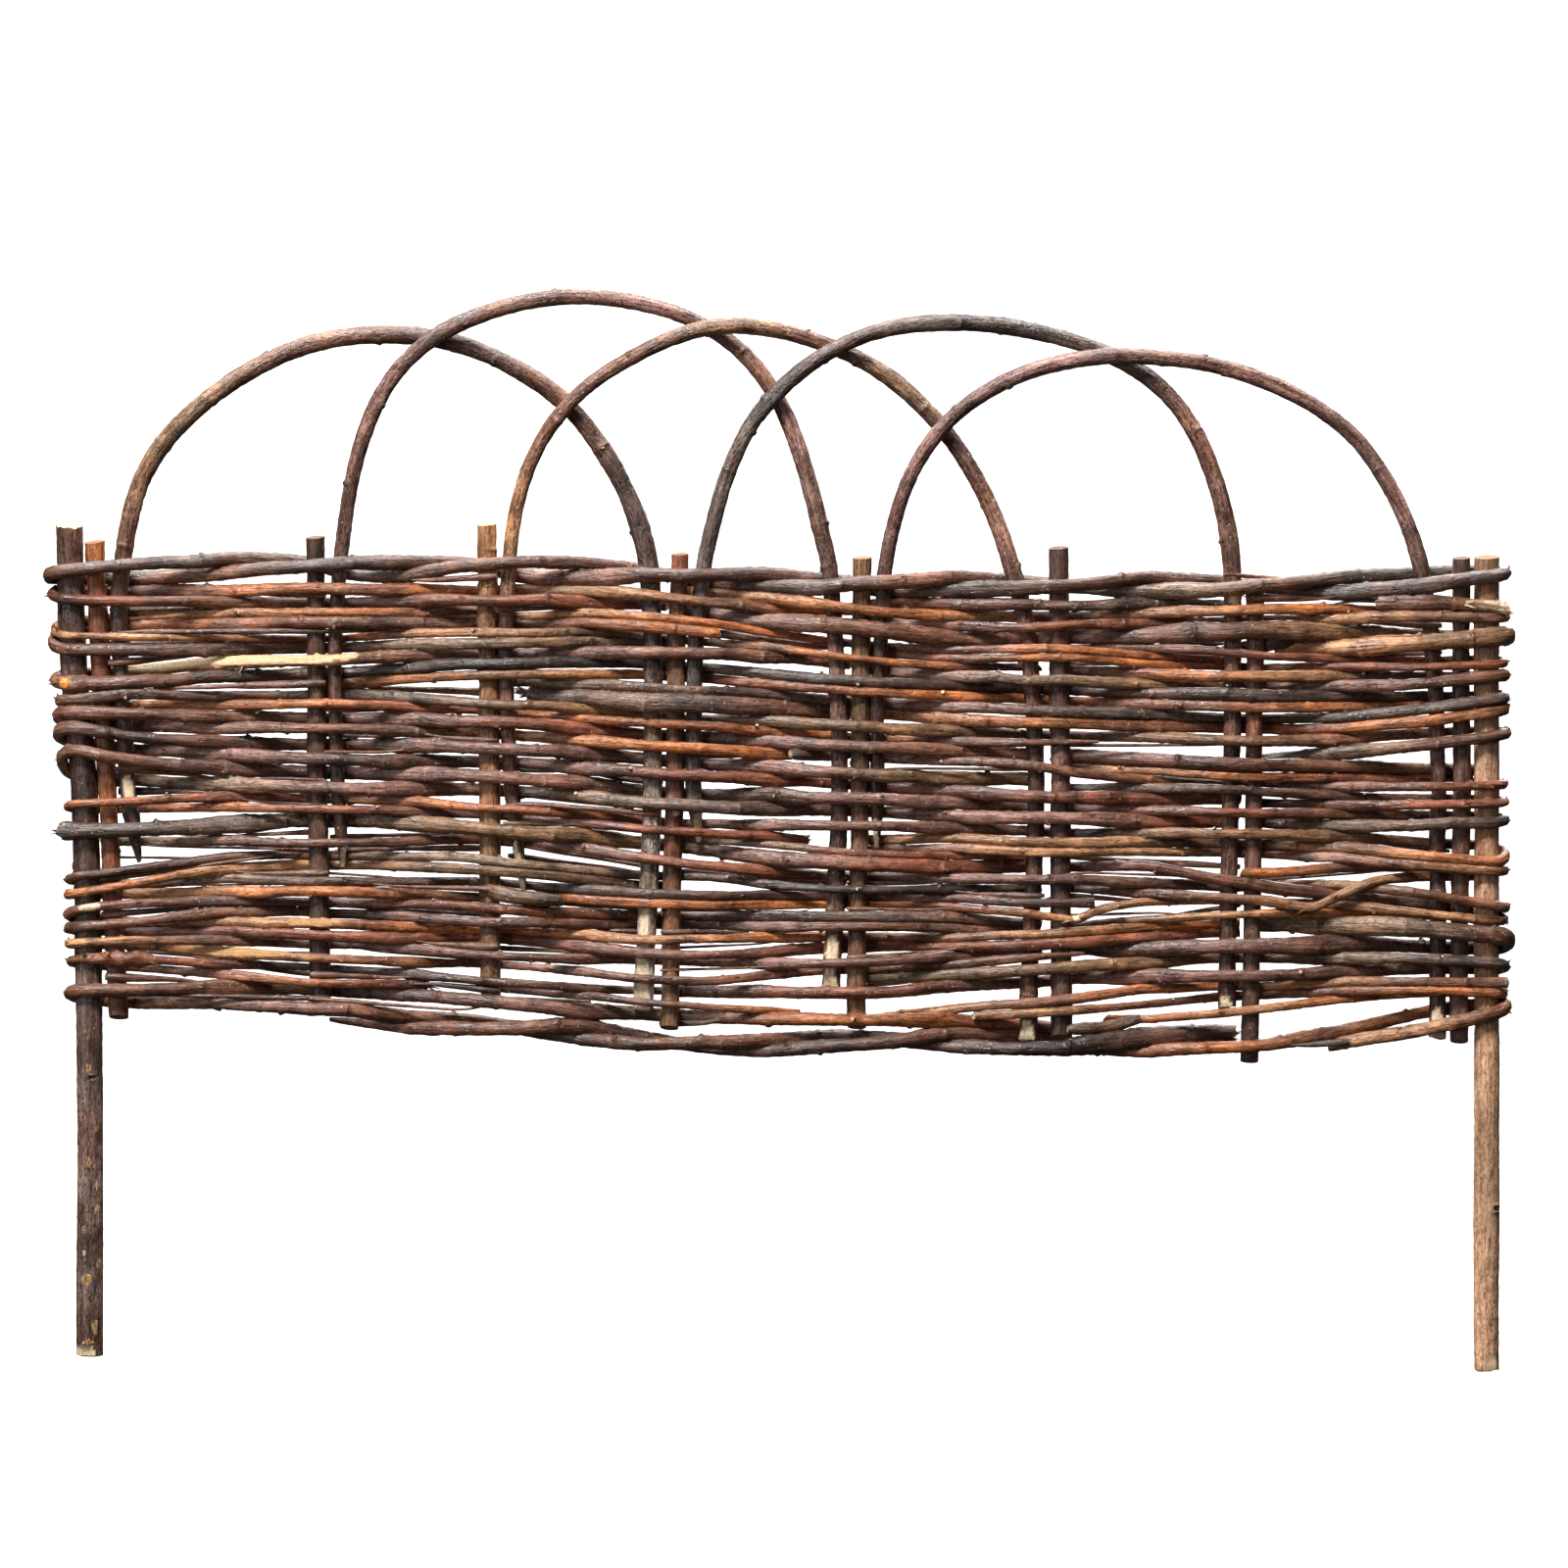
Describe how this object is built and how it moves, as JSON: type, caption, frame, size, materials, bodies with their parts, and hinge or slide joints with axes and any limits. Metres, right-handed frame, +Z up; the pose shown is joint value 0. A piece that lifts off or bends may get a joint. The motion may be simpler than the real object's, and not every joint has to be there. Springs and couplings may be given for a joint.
{
  "type": "woven willow hurdle",
  "caption": "Low garden fence panel of willow rods woven through upright stakes and overlapping hoops, with two long end posts that push into the ground.",
  "frame": {"origin": "middle of the panel's length and thickness, at the lower end of the right post", "axes": "+Z up, +X along the panel to the right seen from the front, front towards -Y"},
  "size_m": [1.0068, 0.0382, 0.7413],
  "materials": {
    "post_bark": "rough bark, pale cut ends",
    "post_peeled": "smooth tan bark, mostly bare",
    "stake_bark": "matt bark with lenticels",
    "hoop_bark": "smooth satin bark",
    "rod_brown": "dry willow bark",
    "rod_tan": "dry willow bark, orange tan",
    "rod_grey": "dry willow bark, weathered grey",
    "rod_red": "dry willow bark, reddish"
  },
  "bodies": {
    "root": {"left_post": "post_bark", "right_post": "post_peeled", "stake_1": "stake_bark", "stake_2": "stake_bark", "stake_3": "stake_bark", "stake_4": "stake_bark", "stake_5": "stake_bark", "stake_6": "stake_bark", "stake_7": "stake_bark", "stake_8": "stake_bark", "hoop_1": "hoop_bark", "hoop_2": "hoop_bark", "hoop_3": "hoop_bark", "hoop_4": "hoop_bark", "hoop_5": "hoop_bark", "left_weaver_01": "rod_brown", "left_weaver_02": "rod_red", "left_weaver_03": "rod_tan", "left_weaver_04": "rod_grey", "left_weaver_05": "rod_brown", "left_weaver_06": "rod_grey", "left_weaver_07": "rod_red", "left_weaver_08": "rod_brown", "left_weaver_09": "rod_grey", "left_weaver_10": "rod_tan", "left_weaver_11": "rod_brown", "left_weaver_12": "rod_tan", "left_weaver_13": "rod_brown", "left_weaver_14": "rod_red", "left_weaver_15": "rod_brown", "left_weaver_16": "rod_brown", "left_weaver_17": "rod_brown", "right_weaver_01": "rod_brown", "right_weaver_02": "rod_red", "right_weaver_03": "rod_tan", "right_weaver_04": "rod_red", "right_weaver_05": "rod_brown", "right_weaver_06": "rod_grey", "right_weaver_07": "rod_tan", "right_weaver_08": "rod_tan", "right_weaver_09": "rod_brown", "right_weaver_10": "rod_brown", "right_weaver_11": "rod_brown", "right_weaver_12": "rod_tan", "right_weaver_13": "rod_tan", "right_weaver_14": "rod_grey", "right_weaver_15": "rod_tan", "right_weaver_16": "rod_grey", "right_weaver_17": "rod_tan", "right_weaver_18": "rod_grey", "right_weaver_19": "rod_brown", "short_weaver_01": "rod_brown", "short_weaver_02": "rod_grey", "short_weaver_03": "rod_red", "short_weaver_04": "rod_grey", "short_weaver_05": "rod_tan", "short_weaver_06": "rod_brown", "short_weaver_07": "rod_brown", "short_weaver_08": "rod_brown"}
  },
  "joints": []
}
